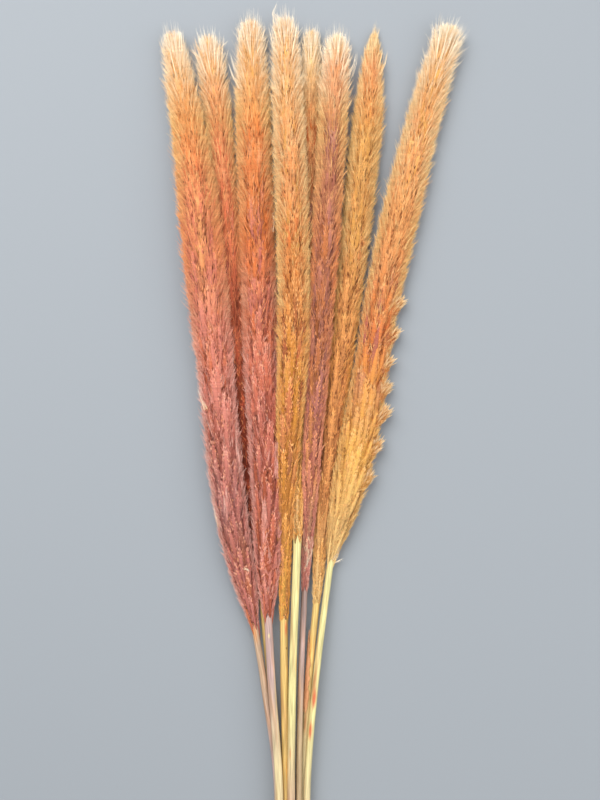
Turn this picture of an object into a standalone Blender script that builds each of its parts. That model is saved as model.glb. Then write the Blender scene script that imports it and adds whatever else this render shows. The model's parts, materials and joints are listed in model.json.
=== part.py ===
"""A bunch of eight dried and dyed reeds, lying on its side on a flat surface.

Each reed is a straw-like stem and a soft, spindle-shaped plume. The plumes lie side by side with their
tips towards +Y, some on the surface and some bedded on their neighbours. The stems run together towards
-Y into a loose bundle and end in plain cuts. Every plume is one closed body: a spindle with the locks
that point up it grown out of it. One stem still carries the torn end of its leaf sheath.
"""

import math
import random
from dataclasses import dataclass

import bmesh
import bpy
from mathutils import Vector

MM = 0.001

# How every plume is built up
SIDES = 10                 # sides of the spindle
RINGS = 19                 # rings from the base to the neck
NECK = 0.95                # share of the length where the spindle stops, and only locks go on
CORE = 0.74                # the spindle's share of the plume's reach, on top and at the sides
STEM_BLEND = 0.07          # share of the length over which the spindle leaves the stem's width
FLATNESS = 0.74            # height of a plume over its width, lying down
BEDDED = 0.84              # how far the middle line lies over the bed, over the half height
LOOK_AHEAD = 0.02          # share of the length over which the plume's direction is read
LOCKS_ABOVE = -0.62        # no lock grows where a face looks further down than this
LOCK_WIDTH = 0.78          # a lock's width half way up, over its width at the root
LOCK_LIFT = (0.88, 0.96)   # how far out a lock is half way up
LOCK_RISE = 0.62           # how far a lock has gone on half way up, in rings
LOCK_REACH = (1.35, 2.0)   # how far a lock's point is ahead of its root, in rings
LOCK_SWAY = 0.11           # most that a point leans round the plume, in radians
LOCK_POINT = (0.94, 1.0)   # how far out a lock's point is
LOCK_FLOOR = 0.4 * MM      # lowest that a lock may hang over the surface
TUFT_FOLLOW = 0.5          # how much of a tuft's pull its lower half takes
GIRTH_AT = (0.0, 0.08, 0.2, 0.4, 0.65, 0.85, 0.96, 1.0)
PLUME_X_AT = (0.0, 0.2, 0.5, 0.8, 1.0)
BED_AT = (0.0, 0.25, 0.6, 1.0)

# How every stem is built up
STEM_GAP = 0.45            # mm between a stem's end and its plume
STEM_PIECE = 27.0          # mm, length of one straight piece of a stem
BEND_Y = -140.0            # mm, where each stem's bend is given
BUNDLE_Y = -200.0          # mm, where the stems have come together

# The torn leaf sheath, wrapped round the upper left of a stem
SHEATH_TOP_Y = -116.0      # mm, its torn tip
SHEATH_LOW_Y = -158.0      # mm, where it closes on the stem
SHEATH_GAP = 0.38          # mm between it and the stem
SHEATH_WALL = 0.45         # mm
SHEATH_TURN = (168.0, 148.0)    # degrees, where its middle faces at the tip and at the foot
SHEATH_SPREAD = (9.0, 62.0)     # degrees, half its width round the stem at the tip and at the foot
SHEATH_ROWS, SHEATH_COLUMNS = 7, 4
SHEATH_COLOUR = (0.86, 0.47, 0.27)


@dataclass
class Reed:
    """One reed. Lengths and places are in mm: x across, y along, heights over the surface."""

    name: str
    base_y: float            # where the stem enters the plume
    tip_y: float
    plume_x: tuple           # the plume's middle line across, at PLUME_X_AT of its length
    girth: tuple             # its half width, at GIRTH_AT of its length
    bed: tuple               # the height of what it lies on, at BED_AT of its length
    stem_radius: float
    bend: tuple              # x and height of the stem at BEND_Y
    bundle: tuple            # x and height of the stem at BUNDLE_Y
    end: tuple               # x, y and height of the cut end
    plume_colour: tuple
    stem_colour: tuple
    tufts: tuple = ()        # x and y of the locks that stand proud
    has_sheath: bool = False

    def length(self):
        return self.tip_y - self.base_y


REEDS = (
    Reed("reed_1", -113.5, 188, (-22.8, -35, -44.5, -54.8, -64), (2.0, 5.6, 7.5, 8.3, 10.4, 8.3, 6.6, 4.6),
         (5.0, 3.5, 3.5, 0.5), 1.7, (-18.4, 6.2), (-11.2, 4.7), (-12.2, -354, 4.8),
         (0.62, 0.27, 0.17), (0.80, 0.66, 0.50)),
    Reed("reed_2", -100, 186, (-19.2, -25.6, -33.5, -40, -47), (1.6, 2.8, 3.6, 4.6, 5.4, 6.8, 8.3, 6.0),
         (2.4, 0.0, 0.0, 0.0), 1.5, (-15.4, 2.6), (-8.6, 1.55), (-8.2, -349, 1.55),
         (0.45, 0.14, 0.09), (0.82, 0.70, 0.42)),
    Reed("reed_3", -108.5, 194, (-16, -16.8, -20.8, -23.3, -25), (2.1, 5.2, 6.2, 7.4, 8.0, 8.2, 7.5, 5.2),
         (7.0, 2.5, 0.0, 0.0), 2.0, (-14.2, 9.6), (-10.3, 8.7), (-10.9, -357, 8.8),
         (0.58, 0.24, 0.16), (0.80, 0.68, 0.56), ((-35.5, 175.0),)),
    Reed("reed_4", -110, 195.5, (-8, -7.3, -3.3, -5.5, -8), (2.0, 2.7, 3.5, 5.8, 7.2, 7.4, 7.0, 4.8),
         (6.0, 6.0, 6.6, 1.5), 2.0, (-7.8, 7.2), (-7.0, 5.75), (-7.4, -352, 5.6),
         (0.72, 0.40, 0.14), (0.86, 0.70, 0.34)),
    Reed("reed_5", -71.5, 189, (-1.3, -0.4, 3, 5.5, 5.8), (1.9, 2.5, 3.2, 4.4, 5.2, 5.4, 4.9, 3.8),
         (9.0, 0.4, 0.0, 0.0), 1.9, (-3.7, 10.4), (-4.4, 9.2), (-4.2, -358, 9.3),
         (0.66, 0.36, 0.13), (0.88, 0.80, 0.48)),
    Reed("reed_6", -96, 186.5, (2.3, 5.4, 10.5, 16, 19), (1.5, 2.6, 3.8, 5.2, 6.6, 7.2, 7.6, 5.2),
         (4.5, 5.1, 5.9, 1.1), 1.5, (0.5, 7.0), (-0.6, 6.0), (-0.4, -350, 6.0),
         (0.50, 0.26, 0.20), (0.62, 0.48, 0.42)),
    Reed("reed_7", -102.5, 188, (8.3, 12.5, 23.3, 33, 38), (1.7, 3.0, 4.0, 5.4, 7.0, 7.4, 4.3, 1.0),
         (2.6, 0.0, 0.0, 0.0), 1.7, (4.8, 4.4), (1.2, 2.6), (1.6, -355, 2.3),
         (0.74, 0.42, 0.16), (0.86, 0.72, 0.36), (), True),
    Reed("reed_8", -81, 191, (15.5, 28, 43.5, 61, 76), (1.7, 4.6, 7.4, 8.4, 9.2, 7.9, 8.2, 7.0),
         (3.6, 0.0, 0.0, 0.0), 1.6, (8.1, 6.6), (3.6, 5.8), (4.1, -353, 5.4),
         (0.78, 0.45, 0.22), (0.88, 0.78, 0.44),
         ((52.5, 54.0), (50.0, 38.0), (47.5, 18.5), (46.0, -2.0), (42.0, -17.5), (37.5, -34.0))),
)


def clear_scene():
    for thing in list(bpy.data.objects):
        bpy.data.objects.remove(thing, do_unlink=True)


def smooth(places, values, at):
    """A smooth line through the values given at the places, read at one place."""
    last = len(places) - 1
    i = min(max((k for k in range(last) if places[k] <= at), default=0), last - 1)
    step = places[i + 1] - places[i]
    slope = []
    for k in (i, i + 1):
        before, after = max(k - 1, 0), min(k + 1, last)
        slope.append((values[after] - values[before]) / (places[after] - places[before]) * step)
    s = (at - places[i]) / step
    return ((2 * s**3 - 3 * s**2 + 1) * values[i] + (s**3 - 2 * s**2 + s) * slope[0]
            + (3 * s**2 - 2 * s**3) * values[i + 1] + (s**3 - s**2) * slope[1])


def half_width(reed, t):
    return smooth(GIRTH_AT, reed.girth, t) * MM


def middle(reed, t):
    """The plume's middle line, from its base at 0 to its tip at 1."""
    bed = max(smooth(BED_AT, reed.bed, t), 0.0) * MM
    height = max(bed + BEDDED * FLATNESS * half_width(reed, t), reed.stem_radius * MM)
    return Vector((smooth(PLUME_X_AT, reed.plume_x, t) * MM, (reed.base_y + reed.length() * t) * MM, height))


def plume_point(reed, t, angle, share):
    """A point of the plume: 0 degrees is its right side, 90 its top, and share 1 its full reach."""
    ahead = middle(reed, min(t + LOOK_AHEAD, 1.0)) - middle(reed, max(t - LOOK_AHEAD, 0.0))
    across = Vector((ahead.y, -ahead.x, 0)).normalized()
    wide = half_width(reed, t)
    tall = max(FLATNESS * wide, min(wide, reed.stem_radius * MM))
    up = Vector((0, 0, tall))
    return middle(reed, t) + share * (across * wide * math.cos(angle) + up * math.sin(angle))


def core_share(t, angle):
    """The spindle's reach: full at the stem and underneath, less where locks stand on it."""
    underneath = 2.4 * (-math.sin(angle) - 0.45)
    near_stem = 1 - t / STEM_BLEND
    return CORE + (1 - CORE) * min(1.0, max(underneath, near_stem, 0.0))


def resting(point, lowest=0.0):
    point.z = max(point.z, lowest)
    return point


def sides_of(cap):
    return [next(f for f in edge.link_faces if f is not cap) for edge in cap.edges]


def grow_spindle(bm, reed, place):
    """Draws a cylinder out ring by ring. Fills place with each vertex's share of the length and angle,
    and returns the side faces with their ring's number, and the end face."""
    ring_at = [NECK * i / (RINGS - 1) for i in range(RINGS)]
    bmesh.ops.create_cone(bm, cap_ends=True, segments=SIDES, radius1=1, radius2=1, depth=1)
    cap = max(bm.faces, key=lambda f: f.calc_center_median().z)
    for v in bm.verts:
        place[v] = (ring_at[1 if v.co.z > 0 else 0], math.atan2(v.co.y, v.co.x) + math.pi / SIDES)
    quads = [(0, face) for face in sides_of(cap)]
    for k in range(2, RINGS):
        spokes = [place[v][1] for v in cap.verts]
        cap = bmesh.ops.extrude_discrete_faces(bm, faces=[cap])["faces"][0]
        for v, angle in zip(cap.verts, spokes):
            place[v] = (ring_at[k], angle)
        quads += [(k - 1, face) for face in sides_of(cap)]
    for v, (t, angle) in place.items():
        v.co = resting(plume_point(reed, t, angle, core_share(t, angle)))
    return quads, cap


def grow_lock(bm, reed, quad, place, rand):
    """Draws one face of the spindle out and up into a lock. Returns its point and its middle."""
    step = NECK / (RINGS - 1)
    corners = [place[v] for v in quad.verts]
    turns = [angle for _, angle in corners]
    if max(turns) - min(turns) > math.pi:
        turns = [angle + math.tau if angle < min(turns) + math.pi else angle for angle in turns]
    centre, at = sum(turns) / 4, sum(t for t, _ in corners) / 4
    sway = rand.uniform(-LOCK_SWAY, LOCK_SWAY)
    lift = rand.uniform(*LOCK_LIFT)
    half_way = bmesh.ops.extrude_discrete_faces(bm, faces=[quad])["faces"][0]
    for v, (t, _), angle in zip(half_way.verts, corners, turns):
        t_up = min(at + (t - at) * LOCK_WIDTH + LOCK_RISE * step, 1.0)
        angle_up = centre + (angle - centre) * LOCK_WIDTH + sway / 2
        v.co = resting(plume_point(reed, t_up, angle_up, lift), LOCK_FLOOR)
    middle_verts = list(half_way.verts)
    point = bmesh.ops.poke(bm, faces=[half_way])["verts"][0]
    t_point = min(at + rand.uniform(*LOCK_REACH) * step, 1.0)
    point.co = resting(plume_point(reed, t_point, centre + sway, rand.uniform(*LOCK_POINT)), LOCK_FLOOR)
    return point, middle_verts


def plume_mesh(reed):
    rand = random.Random(reed.name)
    bm = bmesh.new()
    place = {}
    quads, cap = grow_spindle(bm, reed, place)
    locks = []
    for k, quad in quads:
        turn = math.atan2(sum(math.sin(place[v][1]) for v in quad.verts),
                          sum(math.cos(place[v][1]) for v in quad.verts))
        column = round((turn + math.pi / 2) / (math.tau / SIDES))
        if k > 0 and (k + column) % 2 == 0 and math.sin(turn) > LOCKS_ABOVE:
            locks.append(grow_lock(bm, reed, quad, place, rand))
    crown = bmesh.ops.poke(bm, faces=[cap])["verts"][0]
    crown.co = middle(reed, (NECK + 1) / 2)
    for x, y in reed.tufts:
        target = Vector((x, y)) * MM
        nearest = min(locks, key=lambda lock: (lock[0].co.xy - target).length)
        locks.remove(nearest)
        pull = target - nearest[0].co.xy
        nearest[0].co.xy += pull
        for v in nearest[1]:
            v.co.xy += pull * TUFT_FOLLOW
    bmesh.ops.reverse_faces(bm, faces=bm.faces)
    mesh = bpy.data.meshes.new(f"{reed.name}_plume")
    bm.to_mesh(mesh)
    bm.free()
    return mesh


def stem_point(reed, y):
    """The stem's middle line at one place along it, in mm."""
    base = middle(reed, 0) / MM
    ways = ((base.x, reed.base_y, base.z), (reed.bend[0], BEND_Y, reed.bend[1]),
            (reed.bundle[0], BUNDLE_Y, reed.bundle[1]), reed.end)
    down = [-way[1] for way in ways]
    height = max(smooth(down, [way[2] for way in ways], -y), reed.stem_radius)
    return Vector((smooth(down, [way[0] for way in ways], -y), y, height))


def stem_curve(reed):
    curve = bpy.data.curves.new(f"{reed.name}_stem", "CURVE")
    curve.dimensions = "3D"
    curve.bevel_depth = reed.stem_radius * MM
    curve.bevel_resolution = 2
    curve.use_fill_caps = True
    top, low = reed.base_y - STEM_GAP, reed.end[1]
    pieces = round((top - low) / STEM_PIECE)
    spline = curve.splines.new("POLY")
    spline.points.add(pieces)
    for i, dot in enumerate(spline.points):
        dot.co = (*(stem_point(reed, top + (low - top) * i / pieces) * MM), 1)
    return curve


def sheath_mesh(reed):
    """A flat grid rolled round the stem. Its thickness comes from a modifier."""
    bm = bmesh.new()
    bmesh.ops.create_grid(bm, x_segments=SHEATH_COLUMNS, y_segments=SHEATH_ROWS, size=0.5)
    reach = reed.stem_radius + SHEATH_GAP
    for v in bm.verts:
        across, down = v.co.x * 2, 0.5 - v.co.y
        spread = SHEATH_SPREAD[0] + (SHEATH_SPREAD[1] - SHEATH_SPREAD[0]) * min(1.0, 2.2 * down)
        facing = SHEATH_TURN[0] + (SHEATH_TURN[1] - SHEATH_TURN[0]) * down
        angle = math.radians(facing - spread * across)
        on_stem = stem_point(reed, SHEATH_TOP_Y + (SHEATH_LOW_Y - SHEATH_TOP_Y) * down)
        v.co = (on_stem + reach * Vector((math.cos(angle), 0, math.sin(angle)))) * MM
    bmesh.ops.recalc_face_normals(bm, faces=bm.faces)
    mesh = bpy.data.meshes.new(f"{reed.name}_sheath")
    bm.to_mesh(mesh)
    bm.free()
    return mesh


def material(name, colour, roughness):
    made = bpy.data.materials.new(name)
    made.use_nodes = True
    shader = made.node_tree.nodes["Principled BSDF"]
    shader.inputs["Base Color"].default_value = (*colour, 1)
    shader.inputs["Roughness"].default_value = roughness
    shader.inputs["Metallic"].default_value = 0
    return made


def add_object(name, data, colour, roughness, collection):
    data.materials.append(material(name, colour, roughness))
    thing = bpy.data.objects.new(name, data)
    collection.objects.link(thing)
    return thing


def centre_on_origin(things):
    """Moves everything so that the origin is on the surface, under the middle of the bunch."""
    shapes = bpy.context.evaluated_depsgraph_get()
    corners = []
    for thing in things:
        solid = thing.evaluated_get(shapes)
        corners += [v.co.copy() for v in solid.to_mesh().vertices]
        solid.to_mesh_clear()
    low = Vector(min(c[i] for c in corners) for i in range(3))
    high = Vector(max(c[i] for c in corners) for i in range(3))
    for thing in things:
        thing.location = (-(low.x + high.x) / 2, -(low.y + high.y) / 2, 0)


def main():
    clear_scene()
    bunch = bpy.data.collections.new("bunch_of_reeds")
    bpy.context.scene.collection.children.link(bunch)
    things = []
    for reed in REEDS:
        things.append(add_object(f"{reed.name}_plume", plume_mesh(reed), reed.plume_colour, 0.95, bunch))
        things.append(add_object(f"{reed.name}_stem", stem_curve(reed), reed.stem_colour, 0.55, bunch))
        if reed.has_sheath:
            sheath = add_object(f"{reed.name}_sheath", sheath_mesh(reed), SHEATH_COLOUR, 0.7, bunch)
            wall = sheath.modifiers.new("wall", "SOLIDIFY")
            wall.thickness = SHEATH_WALL * MM
            wall.offset = 1
            things.append(sheath)
    centre_on_origin(things)


main()
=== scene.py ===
# %% [markdown]
# # A bunch of dyed, dried reeds
#
# Eight reeds lie side by side on a pale surface, seen from straight above. Each one is a straw stem and a
# soft plume: a thin flower stalk, hidden under thousands of hairs that all point up it. A plume, seen from a
# step away, is not one surface but three things at once: dark depth between the locks, a grain of tiny dyed
# flower scales on them, and a pale fuzz where single hairs catch the light at the edge. This lesson builds
# those three in that order, out of a few tiny shapes that are modelled once and copied many thousand times.

# %% Load the solid model as a fixed frame
import json
import math
from dataclasses import dataclass

import bpy
import numpy as np
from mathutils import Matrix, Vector

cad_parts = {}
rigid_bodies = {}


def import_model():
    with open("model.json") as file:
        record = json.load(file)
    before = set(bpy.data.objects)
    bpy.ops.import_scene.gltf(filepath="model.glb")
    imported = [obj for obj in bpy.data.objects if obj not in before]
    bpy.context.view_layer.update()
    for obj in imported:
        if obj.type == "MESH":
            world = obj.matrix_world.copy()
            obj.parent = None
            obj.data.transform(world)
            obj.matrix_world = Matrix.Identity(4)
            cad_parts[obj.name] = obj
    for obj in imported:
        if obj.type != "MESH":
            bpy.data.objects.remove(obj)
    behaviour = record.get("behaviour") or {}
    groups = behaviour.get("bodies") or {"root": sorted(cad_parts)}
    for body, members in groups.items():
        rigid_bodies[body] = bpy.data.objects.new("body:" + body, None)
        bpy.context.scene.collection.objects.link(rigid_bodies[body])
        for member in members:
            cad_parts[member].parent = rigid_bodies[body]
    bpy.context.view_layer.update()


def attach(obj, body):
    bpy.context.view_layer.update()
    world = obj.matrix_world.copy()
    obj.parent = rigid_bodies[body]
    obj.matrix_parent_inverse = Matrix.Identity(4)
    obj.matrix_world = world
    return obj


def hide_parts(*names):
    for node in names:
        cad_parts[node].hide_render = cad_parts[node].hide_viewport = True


for thing in list(bpy.data.objects):
    bpy.data.objects.remove(thing, do_unlink=True)
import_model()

# %% [markdown]
# ## Where the eight reeds lie
#
# The solids already fix every plume and stem, so nothing here may wander. Reading their triangles back
# would give a rough outline with locks in it. It is cleaner to state the same few lengths again: where each
# plume starts and ends, how its middle line runs, how wide it is, and how high it lies. They are in
# millimetres from the middle of the picture, and SHIFT leads from there to the model's origin.

# %% The reeds' lines
MM = 0.001
SHIFT = np.array((-6.998, 81.158, 0.0))
FLATNESS = 0.74          # height of a plume over its width
BEDDED = 0.84            # how far its middle line lies over the bed, over the half height
LOOK_AHEAD = 0.02        # of a plume's length, over which its direction is read
ZENITH = (0.0, 0.0, 1.0)
BEND_Y, BUNDLE_Y = -140.0, -200.0
GIRTH_AT = (0.0, 0.08, 0.2, 0.4, 0.65, 0.85, 0.96, 1.0)
PLUME_X_AT = (0.0, 0.2, 0.5, 0.8, 1.0)
BED_AT = (0.0, 0.25, 0.6, 1.0)


@dataclass(frozen=True)
class Reed:
    """One reed: x across, y along, heights over the surface, all in mm."""

    name: str
    base_y: float
    tip_y: float
    plume_x: tuple           # the plume's middle line, at PLUME_X_AT of its length
    girth: tuple             # its half width, at GIRTH_AT
    bed: tuple               # the height of what it lies on, at BED_AT
    radius: float            # the stem's
    bend: tuple              # x and height of the stem at BEND_Y
    bundle: tuple            # x and height of the stem at BUNDLE_Y
    end: tuple               # the cut end
    tufts: tuple = ()        # x and y of the locks that stand proud

    @property
    def length(self):
        return self.tip_y - self.base_y


REEDS = (
    Reed("reed_1", -113.5, 188, (-22.8, -35, -44.5, -54.8, -65.5), (2.0, 5.6, 7.5, 8.3, 10.4, 8.3, 6.6, 4.6),
         (5.0, 3.5, 3.5, 0.5), 1.7, (-18.4, 6.2), (-11.2, 4.7), (-12.2, -354, 4.8)),
    Reed("reed_2", -100, 186, (-19.2, -25.6, -33.5, -40, -47), (1.6, 2.8, 3.6, 4.6, 5.4, 6.8, 8.3, 6.0),
         (2.4, 0.0, 0.0, 0.0), 1.5, (-15.4, 2.6), (-8.6, 1.55), (-8.2, -349, 1.55)),
    Reed("reed_3", -108.5, 194, (-16, -16.6, -20.2, -23.3, -25), (2.1, 5.6, 7.0, 8.2, 8.8, 8.8, 7.8, 5.2),
         (7.0, 2.5, 0.0, 0.0), 2.0, (-14.2, 9.6), (-10.3, 8.7), (-10.9, -357, 8.8)),
    Reed("reed_4", -110, 195.5, (-8, -7.1, -3.1, -5.5, -8), (2.0, 2.8, 4.1, 6.8, 7.8, 7.8, 7.2, 4.8),
         (6.0, 6.0, 6.6, 1.5), 2.0, (-7.8, 7.2), (-7.0, 5.75), (-7.4, -352, 5.6)),
    Reed("reed_5", -71.5, 189, (-1.3, -0.4, 3, 5.5, 5.8), (1.9, 2.5, 3.2, 4.4, 5.2, 5.4, 4.9, 3.8),
         (9.0, 0.4, 0.0, 0.0), 1.9, (-3.7, 10.4), (-4.4, 9.2), (-4.2, -358, 9.3)),
    Reed("reed_6", -96, 186.5, (2.3, 5.4, 10.5, 16, 19), (1.5, 2.6, 3.8, 5.2, 6.6, 7.2, 7.6, 5.2),
         (4.5, 5.1, 5.9, 1.1), 1.5, (0.5, 7.0), (-0.6, 6.0), (-0.4, -350, 6.0)),
    Reed("reed_7", -102.5, 188, (8.3, 12.5, 23.3, 33, 38), (1.7, 3.0, 4.0, 5.4, 7.0, 7.4, 4.3, 1.0),
         (2.6, 0.0, 0.0, 0.0), 1.7, (4.8, 4.4), (1.2, 2.6), (1.6, -355, 2.3)),
    Reed("reed_8", -81, 191, (15.5, 28.3, 42.3, 61, 76.8), (1.7, 5.9, 8.6, 7.7, 9.3, 8.1, 8.5, 7.8),
         (3.6, 0.0, 0.0, 0.0), 1.6, (8.1, 6.6), (3.6, 5.8), (4.1, -353, 5.4),
         ((52.8, 54.0), (50.5, 38.0), (46.8, 24.0), (46.4, 11.0), (46.0, -2.0), (42.0, -17.5), (37.5, -34.0))),
)
print("reeds:", len(REEDS), "longest plume, mm:", max(reed.length for reed in REEDS))

# %% [markdown]
# ## A place on a plume
#
# Everything that grows on a plume is placed by three numbers, as a town is by its map: how far up it is
# (0 at the stem, 1 at the tip), which side it is on (an angle, 90 degrees on top), and how far out (0 on
# the middle line, 1 at the hairs' reach). The functions take whole arrays of places, because one plume
# alone has tens of thousands of hairs.


# %% From those three numbers to millimetres
def smooth(places, values, at):
    """A smooth line through the values given at the places, read at many places."""
    places, values = np.array(places, float), np.array(values, float)
    last = len(places) - 1
    before, after = np.maximum(np.arange(last + 1) - 1, 0), np.minimum(np.arange(last + 1) + 1, last)
    slope = (values[after] - values[before]) / (places[after] - places[before])
    i = np.clip(np.searchsorted(places, at, side="right") - 1, 0, last - 1)
    step = places[i + 1] - places[i]
    s = (at - places[i]) / step
    return ((2 * s**3 - 3 * s**2 + 1) * values[i] + (s**3 - 2 * s**2 + s) * slope[i] * step
            + (3 * s**2 - 2 * s**3) * values[i + 1] + (s**3 - s**2) * slope[i + 1] * step)


def unit(vectors):
    return vectors / np.maximum(np.linalg.norm(vectors, axis=-1, keepdims=True), 1e-9)


def half_width(reed, t):
    return smooth(GIRTH_AT, reed.girth, np.clip(t, 0.0, 1.0))


def middle(reed, t):
    bed = np.maximum(smooth(BED_AT, reed.bed, np.clip(t, 0.0, 1.0)), 0.0)
    height = np.maximum(bed + BEDDED * FLATNESS * half_width(reed, t), reed.radius)
    return np.stack([smooth(PLUME_X_AT, reed.plume_x, t), reed.base_y + reed.length * t, height], axis=-1)


def ahead_and_across(reed, t):
    ahead = unit(middle(reed, t + LOOK_AHEAD) - middle(reed, t - LOOK_AHEAD))
    across = np.stack([ahead[..., 1], -ahead[..., 0], np.zeros_like(ahead[..., 0])], axis=-1)
    return ahead, unit(across)


def on_plume(reed, t, angle, share):
    """Points of a plume, in mm. 0 degrees is its right side, 90 its top."""
    _, across = ahead_and_across(reed, t)
    wide = half_width(reed, t)
    tall = np.maximum(FLATNESS * wide, np.minimum(wide, reed.radius))
    sideways = (share * wide * np.cos(angle))[..., None] * across
    upwards = (share * tall * np.sin(angle))[..., None] * np.array(ZENITH)
    return middle(reed, t) + sideways + upwards


def stem_middle(reed, y):
    """The stem's middle line, which goes on from the plume's where that starts."""
    top = middle(reed, np.array([0.0]))[0]
    bend = (reed.bend[0], BEND_Y, reed.bend[1])
    bundle = (reed.bundle[0], BUNDLE_Y, reed.bundle[1])
    ways = np.array((top, bend, bundle, reed.end))
    below = np.stack([smooth(-ways[:, 1], ways[:, 0], -y), y,
                      np.maximum(smooth(-ways[:, 1], ways[:, 2], -y), reed.radius)], axis=-1)
    return np.where((y > reed.base_y)[:, None], middle(reed, (y - reed.base_y) / reed.length), below)


reach = on_plume(REEDS[0], np.array([0.65]), np.array([0.0]), np.array([1.0]))
print("right edge of the widest plume, mm:", np.round(reach + SHIFT, 1))

# %% [markdown]
# ## Dyes
#
# The reeds are dyed in the warm range between cream and mauve, and the dye has taken unevenly: strong near
# the stem, washed out to cream at the tips. A dyer would think in a box of named dyes, so that is how the
# colours are given. Each plume names the dyes that it runs through from the stem to the tip, three times:
# for most of its hair, for the hair between, and for the pale hair ends.

# %% The dye box and each plume's dyes
DYES = {
    "white": "#FFF2DC", "cream": "#FADCA8", "straw": "#F8CF8A", "gold": "#F2B35A", "amber": "#E59433",
    "orange": "#E67D38", "peach": "#F3A468", "terracotta": "#DB6D45", "rose": "#CF7465",
    "apricot": "#F0A05C", "ochre": "#DA9848", "sienna": "#C8743F", "pink": "#E6B6A6", "brick": "#A03E26",
    "mauve": "#AE6E68", "bark": "#8A3E18", "saffron": "#FFC05C", "coral": "#E88A74",
}
DYE_AT = (0.0, 0.2, 0.42, 0.62, 0.8, 0.93, 0.985)
PALE_AT = (0.0, 0.4, 0.62, 0.84, 0.985)
PLUME_DYES = {
    "reed_1": (("rose", "rose", "coral", "coral", "orange", "gold", "gold"),
               ("orange", "mauve", "terracotta", "peach", "peach", "gold", "straw"),
               ("pink", "pink", "peach", "straw", "white")),
    "reed_2": (("brick", "brick", "brick", "terracotta", "terracotta", "gold", "gold"),
               ("rose", "brick", "terracotta", "rose", "peach", "peach", "straw"),
               ("terracotta", "terracotta", "peach", "straw", "white")),
    "reed_3": (("coral", "rose", "terracotta", "orange", "orange", "gold", "gold"),
               ("terracotta", "terracotta", "rose", "rose", "peach", "gold", "straw"),
               ("pink", "pink", "peach", "straw", "white")),
    "reed_4": (("saffron", "amber", "amber", "orange", "apricot", "gold", "gold"),
               ("peach", "apricot", "terracotta", "ochre", "ochre", "gold", "straw"),
               ("gold", "straw", "straw", "cream", "white")),
    "reed_5": (("amber", "gold", "amber", "sienna", "sienna", "straw", "straw"),
               ("straw", "peach", "orange", "mauve", "orange", "straw", "straw"),
               ("straw", "gold", "straw", "straw", "white")),
    "reed_6": (("rose", "rose", "mauve", "mauve", "sienna", "apricot", "straw"),
               ("pink", "apricot", "sienna", "sienna", "mauve", "apricot", "straw"),
               ("pink", "peach", "peach", "straw", "white")),
    "reed_7": (("straw", "apricot", "apricot", "ochre", "ochre", "orange", "straw"),
               ("gold", "apricot", "apricot", "apricot", "gold", "apricot", "cream"),
               ("straw", "gold", "straw", "straw", "cream")),
    "reed_8": (("straw", "saffron", "orange", "apricot", "apricot", "gold", "straw"),
               ("straw", "gold", "rose", "apricot", "gold", "gold", "cream"),
               ("straw", "straw", "straw", "cream", "white")),
}


def linear(colour):
    """A hex colour or a dye's name, turned from sRGB to linear, with alpha 1."""
    text = DYES.get(colour, colour).lstrip("#")
    parts = [int(text[i:i + 2], 16) / 255 for i in (0, 2, 4)]
    return (*[c / 12.92 if c <= 0.04045 else ((c + 0.055) / 1.055) ** 2.4 for c in parts], 1.0)


print("dyes in the box:", len(DYES))

# %% [markdown]
# ## What one hair knows about its colour
#
# A hair's colour follows from how far up the plume it grows, how far along the hair a point is, and what
# part it plays: undercoat, main hair, other hair, light main hair, dark other hair, pale hair, dark husk or
# bright grain. Those fit in a UV map, so that is where they are kept. U is the place up the plume. V is cut
# into eight bands, one for each part played, and a hair runs up its band from root to end. The material
# then reads nothing but the UV map, so the colours can't slide and can be baked.

# %% The bands, and the one function that adds nodes
UNDERCOAT, MAIN, OTHER, MAIN_LIGHT, OTHER_DARK, PALE, HUSK, GRAIN_GLINT = range(8)
BANDS = 8
BAND_MARGIN = 0.1        # of a band's height, unused at either side
# of each part: the other dye's share, the pale end's share, bark's share (on the undercoat painted shade, on husks
# their own dark)
PART_DYES = ((0.35, 0.00, 0.12), (0.00, 0.30, 0.00), (1.00, 0.30, 0.00), (0.15, 0.55, 0.00),
             (0.90, 0.10, 0.20), (0.50, 1.00, 0.00), (0.10, 0.00, 0.85), (0.45, 0.45, 0.00))
# of each part: brightness (low on the undercoat as painted shade), the bright grain's share of peach (partly painted
# glint), how light the root is in its painted root shade
PART_TONES = ((0.50, 0.0, 0.9), (0.92, 0.0, 0.38), (0.92, 0.0, 0.38), (1.00, 0.0, 0.42),
              (0.72, 0.0, 0.42), (1.00, 0.0, 0.6), (0.52, 0.0, 0.9), (1.05, 0.5, 0.6))


def add(tree, kind, inputs=None, stops=(), **settings):
    """Adds a node. Inputs are sockets to link or values, and stops fill a colour ramp."""
    made = tree.nodes.new(kind)
    for name, value in settings.items():
        setattr(made, name, value)
    for socket, value in (inputs or {}).items():
        if isinstance(value, bpy.types.NodeSocket):
            tree.links.new(value, made.inputs[socket])
        else:
            made.inputs[socket].default_value = value
    for i, (place, colour) in enumerate(stops):
        stop = made.color_ramp.elements[i] if i < 2 else made.color_ramp.elements.new(place)
        stop.position = place
        stop.color = colour
    return made


def new_material(name, roughness, specular):
    """A material as rough and as glossy as told, its node tree and its shader."""
    made = bpy.data.materials.new(name)
    made.use_nodes = True
    shader = made.node_tree.nodes["Principled BSDF"]
    shader.inputs["Roughness"].default_value = roughness
    shader.inputs["Specular IOR Level"].default_value = specular
    return made, made.node_tree, shader


def dye_stops(places, dyes):
    """The stops of a ramp that runs from dye to dye."""
    return [(at, linear(dye)) for at, dye in zip(places, dyes)]


def band_stops(parts):
    """The stops of a ramp that gives each band its own three values."""
    return [(i / BANDS, (*values, 1)) for i, values in enumerate(parts)]
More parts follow.
